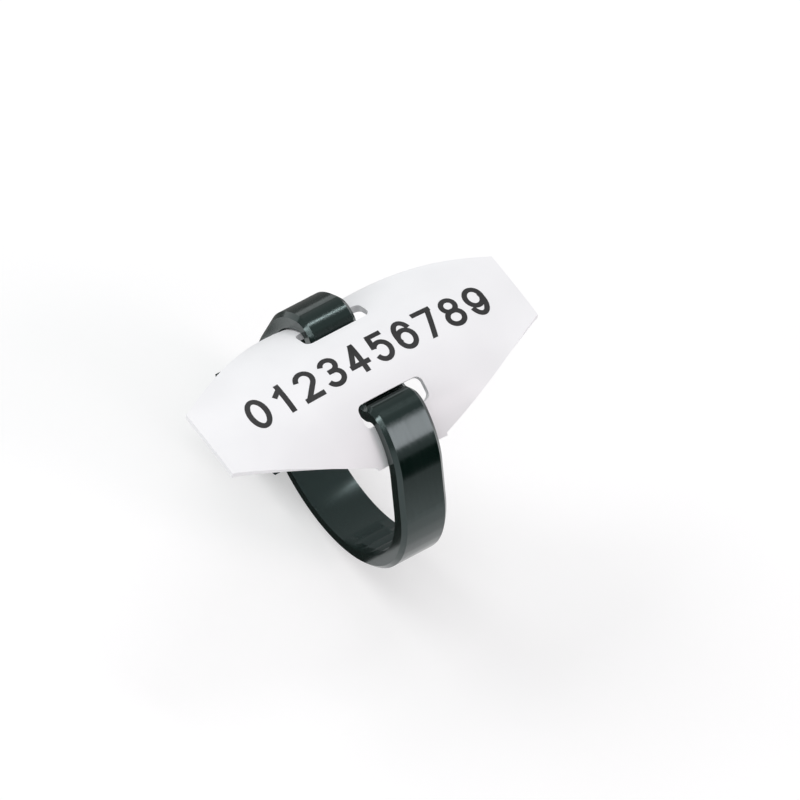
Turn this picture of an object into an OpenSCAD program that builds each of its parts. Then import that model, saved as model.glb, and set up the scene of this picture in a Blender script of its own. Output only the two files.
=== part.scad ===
// Cable marker: a bent plastic plate held on a cable by a locked cable tie.
// X runs along the cable, Z points out through the middle of the plate, the origin is on the cable's axis.

/* [Cable and fit] */
// Diameter of the cable that the tie closes on
cable_d = 16; // [13:0.1:20]
// Clearance between the tie and the plate, and round the tail in the head
clearance = 0.1; // [0.06:0.01:0.14]

/* [Plate] */
// Length of the plate along the cable
plate_l = 25; // [22:0.5:32]
// Width of the plate, measured round its bend
plate_w = 15.5; // [14.6:0.1:16.4]
// Thickness of the plate
plate_t = 0.5; // [0.4:0.05:0.6]
// Width of the straight edge at each end
end_w = 5.6; // [4:0.1:7]
// Length of the straight edge at the middle of each long side
land_l = 5.6; // [5:0.1:8]
// Height of the small step at the corners of the straight edges
land_h = 0.23; // [0.1:0.01:0.4]
// How much tighter than the cable the middle of the plate is bent
tip_pull = 0.7; // [0.5:0.05:0.9]
// Radius of the bend that is left at the ends
end_r = 60; // [40:1:100]
// Gap between the ends of the plate and the cable
end_gap = 0.25; // [0.05:0.05:0.4]
// How far the plate lies to one side of the strap, within the play of its slots
plate_x = 0.2; // [0:0.05:0.4]

/* [Slots] */
// Width of the bridge between the two slots, measured round the bend
bridge_w = 6; // [5.6:0.1:6.4]
// Width of each slot
slot_w = 1.8; // [1.7:0.05:2]
// Length of each slot along the cable
slot_l = 5.2; // [4.8:0.1:6]
// Corner radius of the slots
slot_r = 0.5; // [0.2:0.05:0.6]

/* [Strap] */
// Width of the strap
strap_w = 3.7; // [3.2:0.1:4]
// Thickness of the strap
strap_t = 1.1; // [0.95:0.05:1.15]
// Chamfer along the outer edges of the strap
strap_chamfer = 0.3; // [0.1:0.05:0.4]
// Radius of the strap's bend under the edge of the bridge
dive_r = 0.45; // [0.35:0.05:0.55]
// Radius of the strap's bend out of the slot
hump_r = 0.55; // [0.45:0.05:0.65]
// Radius of the strap's arch over the plate's side band
arch_r = 5; // [4:0.1:6]

/* [Rack] */
// Pitch of the teeth
tooth_pitch = 1.05; // [0.8:0.05:1.4]
// Depth of the teeth
tooth_h = 0.32; // [0.2:0.02:0.4]
// Width of the rack between the smooth rails
tooth_w = 2.2; // [1.6:0.1:2.6]

/* [Head] */
// Angle of the head round the cable, from the middle of the plate over the front
head_a = 244; // [225:1:255]
// Height of the head above the cable
head_h = 4.8; // [4.4:0.1:6]
// Width of the head along the cable
head_w = 6; // [5.4:0.1:7]
// Thickness of the head's front wall, where the strap starts
front_wall = 1.5; // [1.2:0.1:2.2]
// Thickness of the head's rear wall
rear_wall = 1.5; // [1.2:0.1:2.2]
// Room for the pawl in front of the tail
pawl_room = 1.5; // [1.3:0.1:2]
// Radius of the bend that turns the tail into the head
turn_r = 0.6; // [0.4:0.05:0.9]
// Length of the trimmed tail that stands out of the head
tail_stub = 0.6; // [0.3:0.1:3]

/* [Hidden] */
$fn = 96;
deg = 180 / PI;
loop_r = cable_d / 2;

// Plate: radius and centre of the middle's bend, with the bridge's edges seated on the strap
bend_r = loop_r - tip_pull;
inner_r = bend_r - plate_t;
bridge_a = bridge_w / 2 / bend_r * deg;
slot_out_a = (bridge_w / 2 + slot_w) / bend_r * deg;
strap_out_r = loop_r + strap_t;
bend_z = sqrt(pow(strap_out_r + clearance, 2) - pow(inner_r * sin(bridge_a), 2)) - inner_r * cos(bridge_a);
droop = bend_z + inner_r - loop_r - end_gap;
// Rows across the plate and columns along it
slope_rows = 9;
end_rows = 10;
columns = 28;

// Strap: centres of its bends in the loop's plane, where x points out through the plate and y to the front
// It leaves the cable a little before the bridge's edge, by an angle in degrees
dive_lead = 1;
bridge_corner = [bend_z + inner_r * cos(bridge_a), inner_r * sin(bridge_a)];
dive_a = angle_of(bridge_corner) - dive_lead;
dive_c = polar(strap_out_r + dive_r, dive_a);
far_x = strap_w / 2 + plate_x;
slot_edge = in_loop(plate_point(far_x, bridge_w / 2 + slot_w, 0));
tip_edge = in_loop(plate_point(far_x, plate_w / 2, 0));
arch_c = meet(slot_edge, arch_r - clearance, tip_edge, arch_r - clearance);
hump_c = meet(arch_c, arch_r - hump_r, dive_c, dive_r + strap_t + hump_r);
land_a = angle_of(arch_c) + acos((loop_r - arch_r) / norm(arch_c));

// Head: places along its own tangent, counted from the centre of the tail's turn
turn_v = strap_out_r + turn_r;
tail_u = -turn_r - strap_t;
pawl_u = tail_u - pawl_room;
front_u = pawl_u - front_wall;
rear_u = rear_wall - turn_r;
head_v = loop_r + head_h;
root_a = head_a + atan2(pawl_u - front_wall / 2, loop_r);
tail_v = head_v + tail_stub;
window_w = strap_w + 2 * clearance;
head_round = 0.7;
// Pawl: heights above the cable of its hinge, its thickness and its number of teeth
hinge_low = 0.9;
hinge_high = 2;
pawl_t = 0.65;
pawl_teeth = 2;
// Play of the pawl's teeth in the rack, and the flat between two of them
tooth_play = 0.05;
tooth_root = 0.25;
// Tip of the pawl, past its last tooth
pawl_top = turn_v + pawl_teeth * tooth_pitch + tooth_root;
// Smooth stretch at each end of the rack and length of the front rack, in degrees round the cable
rack_margin = 3;
front_rack_a = 88;
// Flat at the bottom of a valley
tooth_land = 0.12 * tooth_pitch;
// Largest turn between two stations along the strap, and its lift off the cable under the bridge
station_step = 6;
strap_lift = 0.02;
// How far and how much thinner the swept stretch reaches into the round one
joint_l = 0.4;
joint_inset = 0.02;
// How far a piece of the same thinner section reaches to each side of the start of the tail's turn
turn_joint_l = 0.1;
// Stock under the round stretch that the bore takes off, and how far the pawl's root runs into its wall
bore_stock = 0.05;
overlap = 0.02;
// How far a cutting or bounding shape runs past what it meets
cut_margin = 1;

function polar(r, a) = [r * cos(a), r * sin(a)];
function angle_of(p) = atan2(p.y, p.x);
// The same point in the loop's plane
function in_loop(p) = [p.z, p.y];
// Crossing of two circles, on the left of the line from p to q
function meet(p, pr, q, qr) =
    let (d = norm(q - p), e = (q - p) / d, m = (pr * pr - qr * qr + d * d) / (2 * d))
    p + m * e + sqrt(pr * pr - m * m) * [-e.y, e.x];

// Half length of the plate at the distance s from its long centre line
function half_length(s) =
    let (w = abs(s), nib = land_h / 3, low = end_w / 2 + nib, high = plate_w / 2 - land_h)
    w <= end_w / 2 ? plate_l / 2 :
    w <= low ? plate_l / 2 - land_h * (w - end_w / 2) / nib :
    w >= high ? land_l / 2 :
    plate_l / 2 - land_h + (land_l / 2 - plate_l / 2 + land_h) * (w - low) / (high - low);

// Point of the plate at x along it and s across it, and a depth below its outer face
function plate_point(x, s, depth) =
    let (
        f = pow(2 * x / plate_l, 2),
        k = (1 - f) / bend_r + f / end_r,
        a = s * k * deg
    )
    [x, (1 / k - depth) * sin(a), bend_z + bend_r - droop * f - 1 / k + (1 / k - depth) * cos(a)];

// Places of the rows across half of the plate, from the centre line outwards
function half_rows() =
    let (low = end_w / 2 + land_h / 3, high = plate_w / 2 - land_h)
    concat(
        [for (i = [1 : end_rows / 2]) end_w / 2 * i / (end_rows / 2)],
        [for (i = [0 : slope_rows]) low + (high - low) * i / slope_rows],
        [plate_w / 2]
    );

module bent_sheet() {
    half = half_rows();
    last = len(half) - 1;
    rows = concat([for (i = [last : -1 : 0]) -half[i]], [0], half);
    n = len(rows);
    m = columns + 1;
    grid = [for (depth = [0, plate_t]) for (s = rows) for (j = [0 : columns])
        plate_point(half_length(s) * (2 * j / columns - 1), s, depth)];
    under = n * m;
    faces = concat(
        [for (i = [0 : n - 2]) for (j = [0 : columns - 1]) each
            let (p = i * m + j, q = p + m)
            [[p, q, q + 1], [p, q + 1, p + 1],
             [under + p, under + q + 1, under + q], [under + p, under + p + 1, under + q + 1]]],
        [for (i = [0 : n - 2]) each
            let (p = i * m, q = p + m, r = p + columns, t = r + m)
            [[p, under + p, under + q], [p, under + q, q], [r, t, under + t], [r, under + t, under + r]]],
        [for (j = [0 : columns - 1]) each
            let (p = j, q = (n - 1) * m + j)
            [[p, p + 1, under + p + 1], [p, under + p + 1, under + p],
             [q, under + q, under + q + 1], [q, under + q + 1, q + 1]]]
    );
    polyhedron(grid, faces, convexity = 6);
}

module rounded_slot() {
    square([slot_l - 2 * slot_r, slot_w], center = true);
    square([slot_l, slot_w - 2 * slot_r], center = true);
    for (x = [-1, 1], y = [-1, 1])
        translate([x * (slot_l / 2 - slot_r), y * (slot_w / 2 - slot_r)])
            circle(slot_r);
}

module marker_plate() {
    slot_a = (bridge_a + slot_out_a) / 2;
    color("white")
        translate([plate_x, 0, 0])
            difference() {
                bent_sheet();
                for (side = [-1, 1])
                    translate([0, 0, bend_z])
                        rotate([side * slot_a, 0, 0])
                            translate([0, 0, bend_r - plate_t - cut_margin])
                                linear_extrude(plate_t + 2 * cut_margin)
                                    rounded_slot();
            }
}

// Stations along a bend of the strap: a point of its toothed face, the way its smooth face looks, an inset
function bend_stations(centre, r, from, to, out = 1) =
    let (n = max(3, ceil(abs(to - from) / station_step)))
    [for (i = [1 : n])
        let (a = from + (to - from) * i / n)
        [centre + polar(r, a), out > 0 ? a : a + 180, 0]];

// Stations from inside the round stretch, over one band, through its slot and down to the bridge
function side_stations() =
    let (
        to_arch = angle_of(hump_c - arch_c),
        to_dive = angle_of(dive_c - hump_c),
        landing = polar(loop_r, land_a)
    )
    concat(
        [for (l = [joint_l, -joint_l]) [landing + polar(l, land_a + 90), land_a, joint_inset]],
        [[arch_c + polar(arch_r, land_a), land_a, 0]],
        bend_stations(arch_c, arch_r, land_a, to_arch),
        bend_stations(hump_c, hump_r, to_arch, to_dive),
        bend_stations(dive_c, dive_r + strap_t, to_dive + 180, dive_a + 180, -1)
    );

// The same stations on the other side of the plate, in the other order
function mirrored(stations) =
    [for (i = [len(stations) - 1 : -1 : 0])
        let (s = stations[i])
        [[s[0].x, -s[0].y], -s[1], s[2]]];

// Outline of the strap's section, with the edges of its smooth face chamfered
function section_points(inset) =
    let (h = strap_w / 2 - inset, t = strap_t - inset, c = strap_chamfer)
    [[inset, -h], [t - c, -h], [t, c - h], [t, h - c], [t - c, h], [inset, h]];

function section_at(station) =
    [for (q = section_points(station[2]))
        let (p = station[0] + polar(q.x, station[1]))
        [p.x, p.y, q.y]];

// Stretch of the strap over the bands, through the slots and under the bridge
module bridge_strap() {
    side = side_stations();
    middle = bend_stations([0, 0], loop_r + strap_lift, dive_a, -dive_a);
    stations = concat(side, [for (i = [0 : len(middle) - 2]) middle[i]], mirrored(side));
    last = len(stations) - 1;
    sides = len(section_points(0));
    points = [for (s = stations) each section_at(s)];
    faces = concat(
        [for (i = [0 : last - 1]) for (k = [0 : sides - 1]) each
            let (p = i * sides + k, q = i * sides + (k + 1) % sides)
            [[p, p + sides, q + sides], [p, q + sides, q]]],
        [[for (k = [0 : sides - 1]) k], [for (k = [sides - 1 : -1 : 0]) last * sides + k]]
    );
    polyhedron(points, faces, convexity = 10);
}

// Round stretch of strap about the cable, with stock left to bore
module round_strap(from, to) {
    rotate([0, 0, from])
        rotate_extrude(angle = to - from)
            translate([loop_r, 0]) {
                polygon(section_points(0));
                translate([-bore_stock, -strap_w / 2])
                    square([bore_stock + strap_chamfer, strap_w]);
            }
}

// Turn of the strap into the head and its end, in the head's own directions
module tail() {
    translate([turn_v, 0])
        rotate([0, 0, 180])
            rotate_extrude(angle = 90)
                translate([turn_r + strap_t, 0])
                    mirror([1, 0])
                        polygon(section_points(0));
    translate([turn_v, tail_u])
        rotate([0, 90, 0])
            linear_extrude(tail_v - turn_v)
                rotate(90)
                    polygon(section_points(0));
}

// Piece inside the strap that ties the tail's turn to the round stretch
module turn_joint() {
    translate([loop_r, turn_joint_l, 0])
        rotate([90, 0, 0])
            linear_extrude(2 * turn_joint_l)
                polygon(section_points(joint_inset));
}

// One valley between two teeth, open at the face x = 0, with its steep side at y = 0
module valley() {
    translate([0, 0, -tooth_w / 2])
        linear_extrude(tooth_w)
            polygon([
                [-2 * bore_stock, 0],
                [tooth_h, 0],
                [tooth_h, tooth_land],
                [0, tooth_pitch - tooth_land],
                [-2 * bore_stock, tooth_pitch - tooth_land]
            ]);
}

module rack_bend(from, to) {
    step = tooth_pitch / loop_r * deg;
    for (i = [0 : floor((to - from) / step) - 1])
        rotate([0, 0, from + i * step])
            translate([loop_r, 0])
                valley();
}

module rack_tail() {
    for (v = [turn_v : tooth_pitch : tail_v - tooth_pitch])
        translate([v + tooth_pitch, tail_u])
            rotate([0, 0, 90])
                valley();
}

module strap() {
    difference() {
        union() {
            bridge_strap();
            round_strap(land_a, root_a);
            round_strap(head_a, 360 - land_a);
            rotate([0, 0, head_a]) {
                tail();
                turn_joint();
            }
        }
        rack_bend(land_a + rack_margin, land_a + rack_margin + front_rack_a);
        rack_bend(head_a + rack_margin, 360 - land_a - rack_margin);
        rotate([0, 0, head_a])
            rack_tail();
    }
}

module head_block() {
    high = head_v - loop_r / 2;
    intersection() {
        translate([0, 0, -head_w / 2])
            linear_extrude(head_w)
                union() {
                    translate([loop_r / 2, front_u])
                        square([high - head_round, rear_u - front_u]);
                    translate([loop_r / 2, front_u + head_round])
                        square([high, rear_u - front_u - 2 * head_round]);
                    for (u = [front_u + head_round, rear_u - head_round])
                        translate([head_v - head_round, u])
                            circle(head_round);
                }
        translate([0, front_u - cut_margin, 0])
            rotate([-90, 0, 0])
                linear_extrude(rear_u - front_u + 2 * cut_margin)
                    union() {
                        translate([0, -head_w / 2])
                            square([head_v - head_round, head_w]);
                        translate([0, -head_w / 2 + head_round])
                            square([head_v, head_w - 2 * head_round]);
                        for (x = [-1, 1])
                            translate([head_v - head_round, x * (head_w / 2 - head_round)])
                                circle(head_round);
                    }
    }
}

// Hinged tongue whose teeth lock the rack
module pawl() {
    face_u = tail_u - clearance;
    low = loop_r + hinge_low;
    translate([0, 0, -tooth_w / 2 + clearance])
        linear_extrude(tooth_w - 2 * clearance)
            polygon(concat(
                [[low, pawl_u - overlap], [low, face_u - pawl_t]],
                [for (i = [0 : pawl_teeth - 1]) each
                    let (v = turn_v + (i + 1) * tooth_pitch - tooth_play)
                    [[v - tooth_pitch + tooth_root, face_u],
                     [v, face_u + tooth_h - clearance],
                     [v, face_u]]],
                [[pawl_top, face_u], [pawl_top, face_u - pawl_t],
                 [loop_r + hinge_high, face_u - pawl_t], [loop_r + hinge_high, pawl_u - overlap]]
            ));
}

module head() {
    nose_r = turn_r - clearance;
    difference() {
        head_block();
        difference() {
            translate([0, 0, -head_w])
                cylinder(r = strap_out_r + clearance, h = 2 * head_w);
            translate([-head_v, -2 * head_v + tail_u, -head_w])
                cube([3 * head_v, 2 * head_v, 2 * head_w]);
        }
        translate([0, pawl_u, -window_w / 2])
            cube([2 * head_v, -nose_r - pawl_u, window_w]);
        difference() {
            translate([0, pawl_u, -window_w / 2])
                cube([turn_v, -pawl_u, window_w]);
            translate([turn_v, 0, -head_w])
                cylinder(r = nose_r, h = 2 * head_w);
        }
    }
    pawl();
}

module cable_tie() {
    color([0.13, 0.15, 0.15])
        rotate([180, -90, 0])
            difference() {
                union() {
                    strap();
                    rotate([0, 0, head_a])
                        head();
                }
                translate([0, 0, -head_w])
                    cylinder(r = loop_r, h = 2 * head_w);
            }
}

marker_plate();
cable_tie();
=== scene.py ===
"""Cable marker: a printed plate and its tie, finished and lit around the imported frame."""

import math

import bmesh
import bpy
from mathutils import Matrix, Vector


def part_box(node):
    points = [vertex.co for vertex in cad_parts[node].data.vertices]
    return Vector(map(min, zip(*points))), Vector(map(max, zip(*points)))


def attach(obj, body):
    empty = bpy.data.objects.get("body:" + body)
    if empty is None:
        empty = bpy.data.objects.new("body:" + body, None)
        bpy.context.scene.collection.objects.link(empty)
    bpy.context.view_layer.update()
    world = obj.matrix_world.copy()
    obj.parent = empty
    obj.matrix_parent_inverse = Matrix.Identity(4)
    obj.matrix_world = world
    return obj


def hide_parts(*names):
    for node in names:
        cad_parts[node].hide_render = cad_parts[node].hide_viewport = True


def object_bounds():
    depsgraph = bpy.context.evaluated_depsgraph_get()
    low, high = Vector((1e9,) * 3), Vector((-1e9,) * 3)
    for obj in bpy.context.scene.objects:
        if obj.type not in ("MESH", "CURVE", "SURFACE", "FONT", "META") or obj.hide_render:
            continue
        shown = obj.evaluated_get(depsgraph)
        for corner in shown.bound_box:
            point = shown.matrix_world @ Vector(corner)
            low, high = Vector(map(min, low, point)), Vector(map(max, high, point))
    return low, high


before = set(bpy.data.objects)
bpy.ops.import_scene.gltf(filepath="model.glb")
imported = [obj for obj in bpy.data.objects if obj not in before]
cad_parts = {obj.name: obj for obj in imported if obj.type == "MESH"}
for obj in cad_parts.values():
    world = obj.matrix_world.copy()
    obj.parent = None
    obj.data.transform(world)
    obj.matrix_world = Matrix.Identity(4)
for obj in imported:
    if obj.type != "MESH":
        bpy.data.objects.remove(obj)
cad_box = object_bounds()

# Pieces are built in millimetres and brought to metres at the end
MM = 0.001
# Smallest distance that counts
TINY = 1e-6

# Plate: its length, place and top from the frame, the other sizes as in its solid
plate_low, plate_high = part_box("marker_plate")
PLATE_L = (plate_high.x - plate_low.x) / MM
PLATE_X = (plate_high.x + plate_low.x) / 2 / MM
PLATE_TOP = plate_high.z / MM
PLATE_W = 15.5
PLATE_T = 0.5
END_W = 5.6
LAND_L = 5.6
LAND_H = 0.23
NIB_L = LAND_H / 3
BEND_R = 7.3
END_R = 60.0
END_GAP = 0.25
PLATE_EDGE = 0.06

# Slots in the plate
BRIDGE_W = 6.0
SLOT_W = 1.8
SLOT_L = 5.2
SLOT_R = 0.5

# Fineness of the plate's mesh: rows, columns by the slots and beyond them, rings of faces round a slot
ROW_STEP = 0.16
SLOT_COLUMNS = 24
SIDE_COLUMNS = 34
SLOT_FRAME = 0.4
SLOT_RINGS = (0.4, 0.75, 1.0)
LAND_SHARE = 0.9

# Strap of the tie, bent as in its solid
LOOP_R = 8.0
CLEARANCE = 0.1
STRAP_W = 3.7
STRAP_T = 1.1
STRAP_CHAMFER = 0.3
DIVE_R = 0.45
DIVE_LEAD = 1.0
HUMP_R = 0.55
ARCH_R = 5.0
ARC_STEP = 3.0

# Rack on the strap's inner face
TOOTH_PITCH = 1.05
TOOTH_H = 0.32
TOOTH_W = 2.2
TOOTH_LAND = 0.12 * TOOTH_PITCH
RACK_MARGIN = 3.0
FRONT_RACK = 88.0

# Head of the tie and its pawl
HEAD_A = 244.0
HEAD_H = 4.8
HEAD_W = 6.0
FRONT_WALL = 1.5
REAR_WALL = 1.5
PAWL_ROOM = 1.5
TURN_R = 0.6
TAIL_STUB = 0.6
HEAD_ROUND = 0.7
HEAD_ROUND_STEPS = 8
HINGE_LOW = 0.9
HINGE_HIGH = 2.0
PAWL_T = 0.65
PAWL_TEETH = 2
TOOTH_PLAY = 0.05
TOOTH_ROOT = 0.25

# Small radius on the edges of the tie, and the turn that counts as an edge, in degrees
TIE_EDGE = 0.05
EDGE_STEPS = 2
EDGE_TURN = 28.0

# Places that follow from the sizes above
DROOP = PLATE_TOP - PLATE_T - LOOP_R - END_GAP
BEND_Z = PLATE_TOP - BEND_R
INNER_R = BEND_R - PLATE_T
STRAP_OUT_R = LOOP_R + STRAP_T
TURN_V = STRAP_OUT_R + TURN_R
TAIL_U = -TURN_R - STRAP_T
PAWL_U = TAIL_U - PAWL_ROOM
FRONT_U = PAWL_U - FRONT_WALL
REAR_U = REAR_WALL - TURN_R
HEAD_V = LOOP_R + HEAD_H
TAIL_V = HEAD_V + TAIL_STUB
PAWL_TOP = TURN_V + PAWL_TEETH * TOOTH_PITCH + TOOTH_ROOT
WINDOW_W = STRAP_W + 2 * CLEARANCE

# Print: a plain run of the ten figures, drawn with a pen of one width
PRINT_HEIGHT = 2.45
PRINT_MIDDLE = (0.35, 0.0)
PEN_W = 0.38
FIGURE_HALF = 0.585
FIGURE_PITCH = 1.98
FIGURE_STEP = 9.0
PRINT_ABOVE = 0.012
PRINT_BELOW = 0.03
PRINT_CELL = (0.8, 0.2)

# Camera, fitted to the photograph's 800 by 800 frame
CAMERA_AZIMUTH = -40.924
CAMERA_ELEVATION = 55.620
CAMERA_ROLL = -8.014
CAMERA_TARGET = (3.900, -0.060, 1.627)
CAMERA_DISTANCE = 1343.28
CAMERA_LENS = 890.82
SENSOR_W = 36.0

# Spans of the noise that drive a finish's colours and its gloss
TONE_SPAN = (0.35, 0.65)
GLOSS_SPAN = (0.3, 0.7)

# Floor: its half size and its gap under the part in metres, the grey of its paper for the light that it
# gives back and where it is seen, and the glow that brings it to white there
FLOOR_HALF = 3.0
FLOOR_GAP = 0.3 * MM
FLOOR_Z = cad_box[0].z - FLOOR_GAP
PAPER_GREY = (0.75, 0.75, 0.75, 1)
SEEN_GREY = (0.62, 0.62, 0.62, 1)
FLOOR_GLOW = 0.4

# Cards of the stage that paint reflections, in millimetres: height of a lying one, and the place of the
# standing one in front
LYING_CARD_Z = FLOOR_Z / MM + 0.1
FRONT_CARD_AZIMUTH = 22
FRONT_CARD_AWAY = 30
FRONT_CARD_HALF_H = 9


# Curves of the plate and the strap

def polar(radius, angle):
    """Point at an angle in degrees, in a plane."""
    turn = math.radians(angle)
    return Vector((radius * math.cos(turn), radius * math.sin(turn)))


def angle_of(point):
    return math.degrees(math.atan2(point.y, point.x))


def spaced(start, stop, step):
    """Evenly spaced values from start to stop, about a step apart."""
    count = max(1, math.ceil(abs(stop - start) / step))
    return [start + (stop - start) * i / count for i in range(count + 1)]


def crossing(p, p_radius, q, q_radius):
    """Crossing of two circles, on the left of the line from p to q."""
    apart = (q - p).length
    along = (q - p) / apart
    m = (p_radius ** 2 - q_radius ** 2 + apart ** 2) / (2 * apart)
    return p + m * along + math.sqrt(p_radius ** 2 - m * m) * Vector((-along.y, along.x))


def plate_point(x, s, depth):
    """Point of the plate at x along it and s across it, at a depth below its outer face."""
    share = (2 * x / PLATE_L) ** 2
    bend = (1 - share) / BEND_R + share / END_R
    reach = 1 / bend - depth
    height = PLATE_TOP - DROOP * share - 1 / bend + reach * math.cos(s * bend)
    return Vector((PLATE_X + x, reach * math.sin(s * bend), height))


def loop_point(place, along):
    """Point of the tie from a place in the loop's plane (outwards, to the front) and a distance along X."""
    return Vector((along, -place.y, place.x))


def head_place(v, u):
    """Place in the loop's plane from a height over the axis and a distance along the head's tangent."""
    outwards = polar(1, HEAD_A)
    return v * outwards + u * Vector((-outwards.y, outwards.x))


# Meshes

def new_piece(name, mesh):
    piece = bpy.data.objects.new(name, mesh)
    bpy.context.scene.collection.objects.link(piece)
    return piece


def mesh_from(name, bm):
    bmesh.ops.recalc_face_normals(bm, faces=bm.faces)
    mesh = bpy.data.meshes.new(name)
    bm.to_mesh(mesh)
    bm.free()
    return mesh


def settle(piece):
    """Takes the piece's modifiers into its mesh."""
    depsgraph = bpy.context.evaluated_depsgraph_get()
    piece.data = bpy.data.meshes.new_from_object(piece.evaluated_get(depsgraph))
    piece.modifiers.clear()


def combine(piece, tool, operation):
    """Cuts a tool from a piece, or joins it to the piece, and removes the tool."""
    step = piece.modifiers.new(operation, "BOOLEAN")
    step.object = tool
    step.operation = operation
    step.solver = "EXACT"
    settle(piece)
    bpy.data.objects.remove(tool)


def soften(piece, width):
    """Rounds the moulded edges by a small radius and keeps the broad faces' shading flat."""
    edges = piece.modifiers.new("edges", "BEVEL")
    edges.width = width
    edges.segments = EDGE_STEPS
    edges.limit_method = "ANGLE"
    edges.angle_limit = math.radians(EDGE_TURN)
    settle(piece)
    piece.data.shade_smooth()
    piece.modifiers.new("shading", "WEIGHTED_NORMAL")
    settle(piece)


def place_piece(piece, material):
    """Brings a finished piece to metres, on the part's one body."""
    piece.data.transform(Matrix.Scale(MM, 4))
    piece.data.materials.clear()
    piece.data.materials.append(material)
    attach(piece, "root")


# Plate

def half_length(s):
    """Half length of the plate at the distance s from its long centre line."""
    w = abs(s)
    low = END_W / 2 + NIB_L
    high = PLATE_W / 2 - LAND_H
    if w <= END_W / 2:
        return PLATE_L / 2
    if w <= low:
        return PLATE_L / 2 - LAND_H * (w - END_W / 2) / NIB_L
    if w >= high - TINY:
        return LAND_L / 2
    return PLATE_L / 2 - LAND_H + (LAND_L / 2 - PLATE_L / 2 + LAND_H) * (w - low) / (high - low)


def slot_edge_point(toward):
    """Point of a slot's rounded outline in a direction from the slot's middle."""
    half_l = SLOT_L / 2
    half_w = SLOT_W / 2
    reach = min(half_l / max(abs(toward.x), TINY), half_w / max(abs(toward.y), TINY))
    corner = Vector((half_l - SLOT_R, half_w - SLOT_R))
    point = toward * reach
    if abs(point.x) > corner.x and abs(point.y) > corner.y:
        middle = Vector((math.copysign(corner.x, toward.x), math.copysign(corner.y, toward.y)))
        unit = toward.normalized()
        along = unit.dot(middle)
        point = unit * (along + math.sqrt(SLOT_R ** 2 - middle.length_squared + along ** 2))
    return point


def plate_rows():
    """Distances of the mesh rows across the plate, with rows on every edge of its outline."""
    frame_low = BRIDGE_W / 2 - SLOT_FRAME
    frame_high = BRIDGE_W / 2 + SLOT_W + SLOT_FRAME
    marks = [0, frame_low, END_W / 2, END_W / 2 + NIB_L, frame_high, PLATE_W / 2 - LAND_H, PLATE_W / 2]
    marks.sort()
    half = [0.0]
    for a, b in zip(marks, marks[1:]):
        half += spaced(a, b, ROW_STEP)[1:]
    return [-s for s in reversed(half[1:])] + half


def plate_columns(s):
    """Places of the mesh columns along the plate in the row s."""
    inner = SLOT_L / 2 + SLOT_FRAME
    frame_high = BRIDGE_W / 2 + SLOT_W + SLOT_FRAME
    beyond = max(0.0, abs(s) - frame_high) / (PLATE_W / 2 - frame_high)
    inner += (LAND_SHARE * LAND_L / 2 - inner) * beyond
    outer = half_length(s)
    middle = [inner * (2 * i / SLOT_COLUMNS - 1) for i in range(SLOT_COLUMNS + 1)]
    side = [inner + (outer - inner) * i / SIDE_COLUMNS for i in range(1, SIDE_COLUMNS + 1)]
    return [-x for x in reversed(side)] + middle + side


def plate_piece():
    bm = bmesh.new()
    rows = plate_rows()
    frame_l = SLOT_L / 2 + SLOT_FRAME
    slot_middle = BRIDGE_W / 2 + SLOT_W / 2
    frame_w = SLOT_W / 2 + SLOT_FRAME
    flat = [[Vector((x, s)) for x in plate_columns(s)] for s in rows]

    def both(point):
        """The outer and the inner vertex at a flat point."""
        return tuple(bm.verts.new(plate_point(point.x, point.y, depth)) for depth in (0, PLATE_T))

    def cell(corners):
        """A face of the outer skin and one of the inner skin."""
        bm.faces.new([c[0] for c in corners])
        bm.faces.new([c[1] for c in reversed(corners)])

    def rim(ring):
        """The wall between the two skins along a row of corners."""
        for a, b in zip(ring, ring[1:]):
            bm.faces.new([a[0], a[1], b[1], b[0]])

    def in_frame(point):
        """True inside the frame round either slot."""
        return abs(point.x) < frame_l - TINY and abs(abs(point.y) - slot_middle) < frame_w - TINY

    grid = [[None if in_frame(p) else both(p) for p in row] for row in flat]
    last_row = len(rows) - 1
    last_column = len(flat[0]) - 1
    for i in range(last_row):
        for j in range(last_column):
            corners = [grid[i][j], grid[i][j + 1], grid[i + 1][j + 1], grid[i + 1][j]]
            middle = (flat[i][j] + flat[i + 1][j + 1]) / 2
            if None not in corners and not in_frame(middle):
                cell(corners)
    rim([grid[0][j] for j in range(last_column + 1)])
    rim([grid[i][last_column] for i in range(last_row + 1)])
    rim([grid[last_row][j] for j in range(last_column, -1, -1)])
    rim([grid[i][0] for i in range(last_row, -1, -1)])
    for side in (-1, 1):
        fill_slot_frame(flat, grid, Vector((0, side * slot_middle)), (frame_l, frame_w), both, cell, rim)
    piece = new_piece("marker_plate_sheet", mesh_from("marker_plate_sheet", bm))
    soften(piece, PLATE_EDGE)
    return piece


def fill_slot_frame(flat, grid, middle, half_size, both, cell, rim):
    """Rings of faces between the frame round a slot and the slot's rounded edge."""
    border = []
    for points, corners in zip(flat, grid):
        for point, corner in zip(points, corners):
            spoke = point - middle
            inside = abs(spoke.x) < half_size[0] + TINY and abs(spoke.y) < half_size[1] + TINY
            if corner and inside:
                border.append((spoke, corner))
    border.sort(key=lambda entry: angle_of(entry[0]))
    rings = [[corner for _, corner in border]]
    for share in SLOT_RINGS:
        rings.append([both(middle + spoke.lerp(slot_edge_point(spoke), share)) for spoke, _ in border])
    for ring in rings:
        ring.append(ring[0])
    for outer, inner in zip(rings, rings[1:]):
        for k in range(len(border)):
            cell([outer[k], outer[k + 1], inner[k + 1], inner[k]])
    rim(rings[-1])


# Tie

def arc_stations(centre, radius, start, stop, side=1):
    """Stations of the strap on an arc: a place on its toothed face, where its smooth face looks, depths."""
    look = 0 if side > 0 else 180
    return [(centre + polar(radius, a), a + look, (0.0,)) for a in spaced(start, stop, ARC_STEP)]


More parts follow.
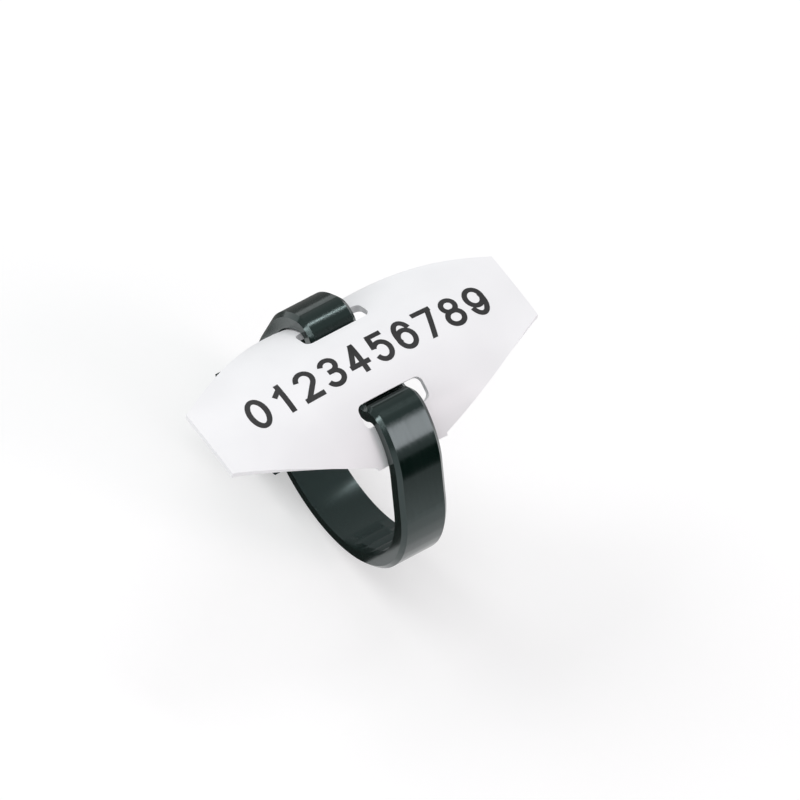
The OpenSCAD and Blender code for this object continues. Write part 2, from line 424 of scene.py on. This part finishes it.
def rack_marks(teeth):
    """Distances along a rack, with the depths of its valleys there."""
    for i in range(teeth):
        start = i * TOOTH_PITCH
        yield start, (0.0, TOOTH_H)
        yield start + TOOTH_LAND, (TOOTH_H,)
        yield start + TOOTH_PITCH / 2, (TOOTH_H / 2,)
        yield start + TOOTH_PITCH - TOOTH_LAND, (0.0,)


def round_stretch(start, stop, rack_start, rack_stop):
    """Stations of a stretch round the axis that carries a rack."""
    axis = Vector((0, 0))
    step = math.degrees(TOOTH_PITCH / LOOP_R)
    teeth = int((rack_stop - rack_start) / step)
    toothed = []
    for distance, depths in rack_marks(teeth):
        a = rack_start + math.degrees(distance / LOOP_R)
        toothed.append((polar(LOOP_R, a), a, depths))
    before = arc_stations(axis, LOOP_R, start, rack_start)[:-1]
    after = arc_stations(axis, LOOP_R, rack_start + teeth * step, stop)
    return before + toothed + after


def band_stations():
    """Stations from the front landing on the loop over the plate's band and through its slot."""
    bridge_turn = math.degrees(BRIDGE_W / 2 / BEND_R)
    bridge_corner = Vector((BEND_Z, 0)) + polar(INNER_R, bridge_turn)
    dive_a = angle_of(bridge_corner) - DIVE_LEAD
    dive = polar(STRAP_OUT_R + DIVE_R, dive_a)
    far_x = STRAP_W / 2 + PLATE_X
    slot_side = plate_point(far_x, BRIDGE_W / 2 + SLOT_W, 0)
    tip = plate_point(far_x, PLATE_W / 2, 0)
    rest = ARCH_R - CLEARANCE
    arch = crossing(Vector((slot_side.z, slot_side.y)), rest, Vector((tip.z, tip.y)), rest)
    hump = crossing(arch, ARCH_R - HUMP_R, dive, DIVE_R + STRAP_T + HUMP_R)
    land_a = angle_of(arch) + math.degrees(math.acos((LOOP_R - ARCH_R) / arch.length))
    to_arch = angle_of(hump - arch)
    to_dive = angle_of(dive - hump)
    stations = [(polar(LOOP_R, land_a), land_a, (0.0,))]
    stations += arc_stations(arch, ARCH_R, land_a, to_arch)
    stations += arc_stations(hump, HUMP_R, to_arch, to_dive)[1:]
    stations += arc_stations(dive, DIVE_R + STRAP_T, to_dive + 180, dive_a + 180, -1)[1:]
    return stations, land_a, dive_a


def tail_stations():
    """Stations of the trimmed tail and of its turn out of the head, from the tail's end."""
    look = HEAD_A + 90
    teeth = int((TAIL_V - TURN_V) / TOOTH_PITCH)
    rack_v = TURN_V + teeth * TOOTH_PITCH
    stations = [(head_place(TAIL_V, TAIL_U), look, (0.0,))]
    for distance, depths in rack_marks(teeth):
        stations.append((head_place(rack_v - distance, TAIL_U), look, depths))
    return stations + arc_stations(head_place(TURN_V, 0), TURN_R + STRAP_T, HEAD_A + 270, HEAD_A + 180, -1)


def strap_stations():
    """Stations along the whole strap, from the tail's end to its root in the head."""
    front, land_a, dive_a = band_stations()
    back = [(Vector((place.x, -place.y)), -look, depths) for place, look, depths in front]
    root_a = HEAD_A + math.degrees(math.atan2(PAWL_U - FRONT_WALL / 2, LOOP_R))
    rack_start = land_a + RACK_MARGIN
    stations = tail_stations()
    stations += round_stretch(HEAD_A, 360 - land_a, HEAD_A + RACK_MARGIN, 360 - land_a - RACK_MARGIN)[1:]
    stations += back[1:]
    stations += arc_stations(Vector((0, 0)), LOOP_R, -dive_a, dive_a)[1:]
    stations += front[-2::-1]
    stations += round_stretch(land_a, root_a, rack_start, rack_start + FRONT_RACK)[1:]
    return stations


def strap_outline():
    """Smooth side of the strap's section as depth and place along X, from edge to edge."""
    h = STRAP_W / 2
    t = STRAP_T
    c = STRAP_CHAMFER
    return [(0, -h), (t - c, -h), (t, c - h), (t, h - c), (t - c, h), (0, h)]


def add_face(bm, corners):
    """A face on the corners that differ."""
    own = list(dict.fromkeys(corners))
    if len(own) > 2:
        bm.faces.new(own)


def strap_piece():
    """The strap: a shell over its smooth side, two rails and the rack's valleys between them."""
    bm = bmesh.new()
    outline = strap_outline()
    rails = (-TOOTH_W / 2, TOOTH_W / 2)
    rings = []
    for place, look, depths in strap_stations():
        outwards = polar(1, look)
        shell = [bm.verts.new(loop_point(place + depth * outwards, along)) for depth, along in outline]
        rail = [bm.verts.new(loop_point(place, along)) for along in rails]
        floors = []
        for depth in depths:
            bed = place + depth * outwards
            floors.append([bm.verts.new(loop_point(bed, x)) for x in rails] if depth > 0 else rail)
        rings.append((shell, rail, floors))
    for _, _, floors in rings:
        for a, b in zip(floors, floors[1:]):
            add_face(bm, [a[0], a[1], b[1], b[0]])
    for (shell, rail, floors), (next_shell, next_rail, next_floors) in zip(rings, rings[1:]):
        for k in range(len(outline) - 1):
            add_face(bm, [shell[k], shell[k + 1], next_shell[k + 1], next_shell[k]])
        add_face(bm, [shell[-1], rail[1], next_rail[1], next_shell[-1]])
        add_face(bm, [rail[0], shell[0], next_shell[0], next_rail[0]])
        floor, next_floor = floors[-1], next_floors[0]
        add_face(bm, [floor[0], floor[1], next_floor[1], next_floor[0]])
        for side in (0, 1):
            add_face(bm, [rail[side], floor[side], next_floor[side], next_rail[side]])
    for shell, rail, _ in (rings[0], rings[-1]):
        bm.faces.new(shell + [rail[1], rail[0]])
    return new_piece("cable_tie_strap", mesh_from("cable_tie_strap", bm))


def prism(name, points, half_width):
    """A solid of a closed outline in the head's plane, as wide as twice half_width along X."""
    bm = bmesh.new()
    sides = []
    for x in (-half_width, half_width):
        sides.append([bm.verts.new(loop_point(head_place(v, u), x)) for v, u in points])
    bm.faces.new(sides[0])
    bm.faces.new(reversed(sides[1]))
    for i in range(len(points)):
        bm.faces.new([sides[0][i - 1], sides[1][i - 1], sides[1][i], sides[0][i]])
    return new_piece(name, mesh_from(name, bm))


def arc_points(centre, radius, start, stop):
    return [tuple(Vector(centre) + polar(radius, a)) for a in spaced(start, stop, ARC_STEP)]


def head_block():
    """The head's outer form, with its four outer edges rounded."""
    foot = LOOP_R / 2
    outline = [(foot, FRONT_U), (HEAD_V, FRONT_U), (HEAD_V, REAR_U), (foot, REAR_U)]
    piece = prism("cable_tie_head", outline, HEAD_W / 2)
    outwards = loop_point(polar(1, HEAD_A), 0)
    bm = bmesh.new()
    bm.from_mesh(piece.data)
    top = [e for e in bm.edges if all(v.co.dot(outwards) > HEAD_V - HEAD_ROUND for v in e.verts)]
    bmesh.ops.bevel(bm, geom=top, offset=HEAD_ROUND, segments=HEAD_ROUND_STEPS, profile=0.5, affect="EDGES")
    bm.to_mesh(piece.data)
    bm.free()
    return piece


def pawl():
    """The hinged tongue whose teeth stand in the tail's rack."""
    face = TAIL_U - CLEARANCE
    root = PAWL_U - TOOTH_PLAY
    low = LOOP_R + HINGE_LOW
    high = LOOP_R + HINGE_HIGH
    points = [(low, root), (low, face - PAWL_T)]
    for i in range(PAWL_TEETH):
        v = TURN_V + (i + 1) * TOOTH_PITCH - TOOTH_PLAY
        points += [(v - TOOTH_PITCH + TOOTH_ROOT, face), (v, face + TOOTH_H - CLEARANCE), (v, face)]
    points += [(PAWL_TOP, face), (PAWL_TOP, face - PAWL_T), (high, face - PAWL_T), (high, root)]
    return prism("pawl", points, TOOTH_W / 2 - CLEARANCE)


def head_piece():
    """The head: a block with a seat on the loop, a way in for the tail, a window and the pawl."""
    axis = (0, 0)
    nose = TURN_R - CLEARANCE
    entry_r = STRAP_OUT_R + CLEARANCE
    entry_low = math.degrees(math.asin(TAIL_U / entry_r))
    entry = [(0, TAIL_U)] + arc_points(axis, entry_r, entry_low, 90)
    window = [(0, PAWL_U), (2 * HEAD_V, PAWL_U), (2 * HEAD_V, -nose)]
    window += arc_points((TURN_V, 0), nose, 270, 180) + [axis]
    piece = head_block()
    combine(piece, prism("seat", arc_points(axis, LOOP_R, ARC_STEP, 360), HEAD_W), "DIFFERENCE")
    combine(piece, prism("entry", entry, HEAD_W), "DIFFERENCE")
    combine(piece, prism("window", window, WINDOW_W / 2), "DIFFERENCE")
    combine(piece, pawl(), "UNION")
    return piece


def tie_piece():
    piece = strap_piece()
    combine(piece, head_piece(), "UNION")
    piece.name = "cable_tie_moulding"
    soften(piece, TIE_EDGE)
    return piece


# Print

def figure_arc(centre, radii, start, stop):
    """Stretch of an ellipse, in shares of a figure's half width and height."""
    turns = [math.radians(a) for a in spaced(start, stop, FIGURE_STEP)]
    return [(centre[0] + radii[0] * math.cos(a), centre[1] + radii[1] * math.sin(a)) for a in turns]


def figure_ring(centre, radii):
    return figure_arc(centre, radii, 0, 360)


def figure_strokes():
    """Pen strokes of the figures 0 to 9, x in shares from -1 to 1 and y from 0 to 1, where they are cut."""
    nine = [figure_ring((0, 0.665), (1, 0.335)), figure_arc((0, 0.5), (1, 0.5), 28, -158)]
    six = [[(-x, 1 - y) for x, y in stroke] for stroke in nine]
    return [
        [figure_ring((0, 0.5), (1, 0.5))],
        [[(0.3, -0.2), (0.3, 1.2)], [(0.3, 0.9), (-0.75, 0.68)]],
        [figure_arc((0, 0.7), (1, 0.3), 172, -42) + [(-0.85, 0)], [(-1.3, 0), (1.3, 0)]],
        [figure_arc((0, 0.755), (0.9, 0.245), 165, -90), figure_arc((0, 0.265), (1, 0.265), 90, -165),
         [(-0.45, 0.52), (0.1, 0.52)]],
        [[(0.4, -0.2), (0.4, 1.2)], [(-1.3, 0.26), (1.35, 0.26)], [(0.4, 1.03), (-0.95, 0.26)]],
        [[(-0.95, 1), (1.1, 1)], [(-0.68, 1), (-0.85, 0.5)], figure_arc((0, 0.34), (1, 0.34), 148, -160)],
        six,
        [[(-1.3, 1), (1.3, 1)], [(0.95, 1), (-0.5, -0.2)]],
        [figure_ring((0, 0.76), (0.86, 0.24)), figure_ring((0, 0.265), (1, 0.265))],
        nine,
    ]


def pen_stroke(bm, line):
    """A bar of the pen's width along a centre line, from z = 0 to 1, closed where the line is."""
    closed = (line[0] - line[-1]).length < TINY
    points = line[:-1] if closed else line
    last = len(points) - 1
    ends = []
    for i, point in enumerate(points):
        before = points[i - 1] if closed or i > 0 else point
        after = points[(i + 1) % len(points)] if closed or i < last else point
        along = (after - before).normalized()
        aside = Vector((-along.y, along.x)) * PEN_W / 2
        ends.append([bm.verts.new((*p, z)) for p, z in
                     ((point - aside, 0), (point + aside, 0), (point + aside, 1), (point - aside, 1))])
    for i in range(0 if closed else 1, last + 1):
        for k in range(4):
            bm.faces.new([ends[i - 1][k - 1], ends[i - 1][k], ends[i][k], ends[i][k - 1]])
    if not closed:
        bm.faces.new(ends[0])
        bm.faces.new(ends[-1])


def figure_layer(layer):
    """The strokes of one layer, one from each figure that has so many."""
    bm = bmesh.new()
    figures = figure_strokes()
    for i, strokes in enumerate(figures):
        if layer < len(strokes):
            left = (i - (len(figures) - 1) / 2) * FIGURE_PITCH
            rise = PRINT_HEIGHT - PEN_W
            pen_stroke(bm, [Vector((left + x * FIGURE_HALF, (y - 0.5) * rise)) for x, y in strokes[layer]])
    return new_piece("figures", mesh_from("figures", bm))


def print_limits():
    """A box that cuts the figures off at their foot and head."""
    bm = bmesh.new()
    bmesh.ops.create_cube(bm, size=2)
    bmesh.ops.scale(bm, vec=(PLATE_L, PRINT_HEIGHT / 2, 2), verts=bm.verts)
    return new_piece("limits", mesh_from("limits", bm))


def print_piece():
    """The run of figures as a thin layer that follows the bent plate."""
    piece = figure_layer(0)
    for layer in range(1, max(len(strokes) for strokes in figure_strokes())):
        combine(piece, figure_layer(layer), "UNION")
    combine(piece, print_limits(), "INTERSECT")
    bm = bmesh.new()
    bm.from_mesh(piece.data)
    for axis, step in enumerate(PRINT_CELL):
        places = [v.co[axis] for v in bm.verts]
        normal = Vector((axis == 0, axis == 1, 0))
        for place in spaced(min(places), max(places), step)[1:-1]:
            everything = bm.verts[:] + bm.edges[:] + bm.faces[:]
            bmesh.ops.bisect_plane(bm, geom=everything, plane_co=normal * place, plane_no=normal, dist=TINY)
    for v in bm.verts:
        depth = PRINT_BELOW - (PRINT_ABOVE + PRINT_BELOW) * v.co.z
        v.co = plate_point(v.co.x + PRINT_MIDDLE[0], v.co.y + PRINT_MIDDLE[1], depth)
    bm.to_mesh(piece.data)
    bm.free()
    piece.name = "marker_print"
    return piece


# Finishes

def add_node(tree, kind, **values):
    """A node with its settings and its inputs' plain values."""
    node = tree.nodes.new(kind)
    for name, value in values.items():
        if name in node.inputs:
            node.inputs[name].default_value = value
        else:
            setattr(node, name, value)
    return node


def moulded_surface():
    """Shader group: fine grain, slow tone changes and faint drawn streaks over a moulded surface."""
    group = bpy.data.node_groups.new("moulded surface", "ShaderNodeTree")
    for name in ("Grain Scale", "Tone Scale", "Streak Scale"):
        group.interface.new_socket(name, in_out="INPUT", socket_type="NodeSocketFloat")
    group.interface.new_socket("Streak Stretch", in_out="INPUT", socket_type="NodeSocketVector")
    for name in ("Grain", "Tone", "Streak"):
        group.interface.new_socket(name, in_out="OUTPUT", socket_type="NodeSocketFloat")
    given = add_node(group, "NodeGroupInput")
    result = add_node(group, "NodeGroupOutput")
    place = add_node(group, "ShaderNodeTexCoord")
    stretch = add_node(group, "ShaderNodeMapping")
    grain = add_node(group, "ShaderNodeTexNoise", Detail=4.0, Roughness=0.6)
    tone = add_node(group, "ShaderNodeTexNoise", Detail=2.0, Roughness=0.5)
    streak = add_node(group, "ShaderNodeTexNoise", Detail=3.0, Roughness=0.6)
    link = group.links.new
    link(given.outputs["Streak Stretch"], stretch.inputs["Scale"])
    link(place.outputs["Object"], stretch.inputs["Vector"])
    link(stretch.outputs["Vector"], streak.inputs["Vector"])
    link(place.outputs["Object"], grain.inputs["Vector"])
    link(place.outputs["Object"], tone.inputs["Vector"])
    for name, noise in (("Grain", grain), ("Tone", tone), ("Streak", streak)):
        link(given.outputs[name + " Scale"], noise.inputs["Scale"])
        link(noise.outputs["Fac"], result.inputs[name])
    return group


def plastic(name, surface, scales, stretch, colours, roughness, depths, ior, tint):
    """A plastic: two close colours by tone, roughness by streaks, and a bump of grain and of streaks."""
    material = bpy.data.materials.new(name)
    material.use_nodes = True
    tree = material.node_tree
    shader = tree.nodes["Principled BSDF"]
    shader.inputs["IOR"].default_value = ior
    shader.inputs["Specular Tint"].default_value = (*tint, 1)
    moulded = add_node(tree, "ShaderNodeGroup", node_tree=surface)
    for socket, scale in zip(("Grain Scale", "Tone Scale", "Streak Scale"), scales):
        moulded.inputs[socket].default_value = scale
    moulded.inputs["Streak Stretch"].default_value = stretch
    shade = add_node(tree, "ShaderNodeValToRGB")
    for stop, place, colour in zip(shade.color_ramp.elements, TONE_SPAN, colours):
        stop.position = place
        stop.color = (*colour, 1)
    gloss = add_node(tree, "ShaderNodeMapRange")
    for socket, value in zip(("From Min", "From Max", "To Min", "To Max"), (*GLOSS_SPAN, *roughness)):
        gloss.inputs[socket].default_value = value
    grain = add_node(tree, "ShaderNodeBump", Distance=depths[0] * MM)
    drawn = add_node(tree, "ShaderNodeBump", Distance=depths[1] * MM)
    link = tree.links.new
    link(moulded.outputs["Tone"], shade.inputs["Fac"])
    link(shade.outputs["Color"], shader.inputs["Base Color"])
    link(moulded.outputs["Streak"], gloss.inputs["Value"])
    link(gloss.outputs["Result"], shader.inputs["Roughness"])
    link(moulded.outputs["Grain"], grain.inputs["Height"])
    link(moulded.outputs["Streak"], drawn.inputs["Height"])
    link(grain.outputs["Normal"], drawn.inputs["Normal"])
    link(drawn.outputs["Normal"], shader.inputs["Normal"])
    return material


# Light and stage

def seen_directly(tree):
    """1 for rays from the camera, from a reflection or through glass, else 0."""
    path = add_node(tree, "ShaderNodeLightPath")
    seen = path.outputs["Is Camera Ray"]
    for ray in ("Is Glossy Ray", "Is Transmission Ray"):
        either = add_node(tree, "ShaderNodeMath", operation="MAXIMUM")
        tree.links.new(seen, either.inputs[0])
        tree.links.new(path.outputs[ray], either.inputs[1])
        seen = either.outputs[0]
    return seen


def floor_material():
    """White floor: plain paper for the light that it gives back, lifted to white where it is seen."""
    material = bpy.data.materials.new("floor paper")
    material.use_nodes = True
    tree = material.node_tree
    tree.nodes.clear()
    out = add_node(tree, "ShaderNodeOutputMaterial")
    paper = add_node(tree, "ShaderNodeBsdfDiffuse", Color=PAPER_GREY)
    shaded = add_node(tree, "ShaderNodeBsdfDiffuse", Color=SEEN_GREY)
    lift = add_node(tree, "ShaderNodeEmission", Color=(1, 1, 1, 1), Strength=FLOOR_GLOW)
    seen = add_node(tree, "ShaderNodeAddShader")
    above = add_node(tree, "ShaderNodeMixShader")
    below = add_node(tree, "ShaderNodeBsdfTransparent")
    side = add_node(tree, "ShaderNodeNewGeometry")
    sheet = add_node(tree, "ShaderNodeMixShader")
    link = tree.links.new
    link(shaded.outputs[0], seen.inputs[0])
    link(lift.outputs[0], seen.inputs[1])
    link(seen_directly(tree), above.inputs[0])
    link(paper.outputs[0], above.inputs[1])
    link(seen.outputs[0], above.inputs[2])
    link(side.outputs["Backfacing"], sheet.inputs[0])
    link(above.outputs[0], sheet.inputs[1])
    link(below.outputs[0], sheet.inputs[2])
    link(sheet.outputs[0], out.inputs["Surface"])
    return material


def add_sheet(name, half_size, material):
    """A flat sheet of the stage."""
    bm = bmesh.new()
    bmesh.ops.create_grid(bm, x_segments=1, y_segments=1, size=1)
    bmesh.ops.scale(bm, vec=(half_size[0], half_size[1], 1), verts=bm.verts)
    sheet = new_piece(name, mesh_from(name, bm))
    sheet.data.materials.append(material)
    return sheet


def graded(tree, axis, stops):
    """Colours by place along an axis of a sheet or of the sky."""
    place = add_node(tree, "ShaderNodeTexCoord")
    split = add_node(tree, "ShaderNodeSeparateXYZ")
    grade = add_node(tree, "ShaderNodeValToRGB")
    elements = grade.color_ramp.elements
    while len(elements) < len(stops):
        elements.new(1.0)
    for element, (position, colour) in zip(elements, stops):
        element.position = position
        element.color = (*colour, 1)
    tree.links.new(place.outputs["Generated"], split.inputs[0])
    tree.links.new(split.outputs[axis], grade.inputs["Fac"])
    return grade.outputs["Color"]


def add_reflection_card(name, middle, facing, half_size, shades):
    """A glowing card that only reflections see, for painted reflections, in millimetres, with its shade by
    the height on it.
    """
    material = bpy.data.materials.new(name)
    material.use_nodes = True
    tree = material.node_tree
    tree.nodes.clear()
    out = add_node(tree, "ShaderNodeOutputMaterial")
    glow = add_node(tree, "ShaderNodeEmission", Strength=1.0)
    greys = [(height, (shade, shade, shade)) for height, shade in shades]
    tree.links.new(graded(tree, "Y", greys), glow.inputs["Color"])
    tree.links.new(glow.outputs[0], out.inputs["Surface"])
    card = add_sheet(name, (half_size[0] * MM, half_size[1] * MM), material)
    card.location = Vector(middle) * MM
    card.rotation_mode = "QUATERNION"
    card.rotation_quaternion = facing.to_track_quat("Z", "Y")
    card.visible_camera = False
    card.visible_diffuse = False
    card.visible_shadow = False


def add_lying_reflection_card(name, middle, half_size, shade, z=LYING_CARD_Z):
    """A glowing card of one shade that looks up, seen only in reflections as a painted reflection, on the
    floor or at a height of its own.
    """
    add_reflection_card(name, (*middle, z), direction(0, 90), half_size, ((0.0, shade), (1.0, shade)))


def add_world(stops):
    """Studio air, with its brightness by height above the horizon."""
    world = bpy.data.worlds.new("studio")
    bpy.context.scene.world = world
    world.use_nodes = True
    tree = world.node_tree
    tree.links.new(graded(tree, "Z", stops), tree.nodes["Background"].inputs["Color"])


def add_softbox(name, azimuth, elevation, distance, size, radiance, roll=0, colour=(1, 1, 1)):
    """A lamp that faces the part and looks as bright as its radiance; azimuth 0 is the front."""
    lamp = bpy.data.lights.new(name, "AREA")
    lamp.shape = "RECTANGLE"
    lamp.size, lamp.size_y = size
    lamp.energy = radiance * size[0] * size[1] * math.pi
    lamp.color = colour
    softbox = bpy.data.objects.new(name, lamp)
    bpy.context.scene.collection.objects.link(softbox)
    towards = direction(azimuth, elevation)
    softbox.location = towards * distance
    softbox.rotation_mode = "QUATERNION"
    level = towards.to_track_quat("Z", "Y")
    softbox.rotation_quaternion = level @ Matrix.Rotation(math.radians(roll), 4, "Z").to_quaternion()


def direction(azimuth, elevation):
    """Unit vector to a place round the part; azimuth 0 is the front and 90 the right."""
    turn = math.radians(azimuth)
    rise = math.radians(elevation)
    return Vector((math.sin(turn) * math.cos(rise), -math.cos(turn) * math.cos(rise), math.sin(rise)))


def add_camera():
    camera = bpy.data.objects.new("camera", bpy.data.cameras.new("camera"))
    bpy.context.scene.collection.objects.link(camera)
    back = direction(CAMERA_AZIMUTH, CAMERA_ELEVATION)
    camera.location = (Vector(CAMERA_TARGET) + back * CAMERA_DISTANCE) * MM
    camera.rotation_mode = "QUATERNION"
    roll = Matrix.Rotation(math.radians(-CAMERA_ROLL), 4, "Z").to_quaternion()
    camera.rotation_quaternion = (-back).to_track_quat("-Z", "Y") @ roll
    camera.data.lens = CAMERA_LENS
    camera.data.sensor_width = SENSOR_W
    bpy.context.scene.camera = camera


add_camera()
surface = moulded_surface()
white_plastic = plastic(
    "white plastic", surface, scales=(2600, 220, 900), stretch=(0.25, 1, 1),
    colours=((0.90, 0.903, 0.915), (0.87, 0.873, 0.886)), roughness=(0.36, 0.5), depths=(0.004, 0.0),
    ior=1.49, tint=(1, 1, 1))
black_nylon = plastic(
    "black nylon", surface, scales=(3000, 260, 3800), stretch=(1, 0.06, 0.06),
    colours=((0.001, 0.006, 0.004), (0.002, 0.008, 0.006)), roughness=(0.12, 0.2), depths=(0.00025, 0.0012),
    ior=1.58, tint=(0.8, 1, 1))
print_ink = plastic(
    "print ink", surface, scales=(4200, 500, 2000), stretch=(1, 1, 1),
    colours=((0.018, 0.018, 0.019), (0.026, 0.026, 0.027)), roughness=(0.5, 0.65), depths=(0.002, 0.0),
    ior=1.45, tint=(1, 1, 1))

plate = plate_piece()
place_piece(plate, white_plastic)
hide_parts("marker_plate")
tie = tie_piece()
place_piece(tie, black_nylon)
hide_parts("cable_tie")
figures = print_piece()
place_piece(figures, print_ink)

floor = add_sheet("floor", (FLOOR_HALF, FLOOR_HALF), floor_material())
floor.location.z = FLOOR_Z
# Painted dark reflections on the strap: glowing cards that only reflections see, one in front of the loop,
# one under it and one behind it
ahead = direction(FRONT_CARD_AZIMUTH, 0)
front_card_z = FLOOR_Z / MM + FRONT_CARD_HALF_H
add_reflection_card("front_card", middle=ahead * FRONT_CARD_AWAY + Vector((0, 0, front_card_z)), facing=ahead,
         half_size=(34, FRONT_CARD_HALF_H),
         shades=((0.0, 0.75), (0.17, 0.35), (0.31, 0.1), (0.42, 0.02), (1.0, 0.02)))
add_lying_reflection_card("under_card", middle=(-2, 2), half_size=(12, 6), shade=0.05)
add_lying_reflection_card("rear_card", middle=(13.5, 57.5), half_size=(22.5, 42.5), shade=0.2)

# Painted shade in the arches: two small glowing cards, seen only in reflections, cover the front softbox's
# reflection in the rear arch and the back strip's in the front one
add_reflection_card("rear_arch_card", middle=(1.05, 2, 10.75), facing=direction(0, 0), half_size=(2.3, 1.05),
         shades=((0.0, 0.15), (1.0, 0.4)))
add_lying_reflection_card("front_arch_card", middle=(0.8, -4.1), half_size=(2.3, 1.2), shade=0.6, z=11.5)

add_world(((0.0, (0.4, 0.4, 0.405)), (0.3, (0.56, 0.57, 0.575)), (1.0, (0.54, 0.55, 0.555))))
add_softbox("front softbox", azimuth=24.5, elevation=31, distance=0.5, size=(0.16, 0.24), radiance=5.1,
            colour=(1.0, 0.86, 0.9))
add_softbox("left strip", azimuth=-91, elevation=20, distance=0.5, size=(0.32, 0.05), radiance=8.5, roll=-24)
add_softbox("back softbox", azimuth=-158, elevation=42, distance=0.6, size=(0.3, 0.3), radiance=4.3)
add_softbox("back strip", azimuth=120, elevation=65, distance=0.5, size=(0.2, 0.03), radiance=12.0)
bpy.context.scene.view_settings.view_transform = "Standard"
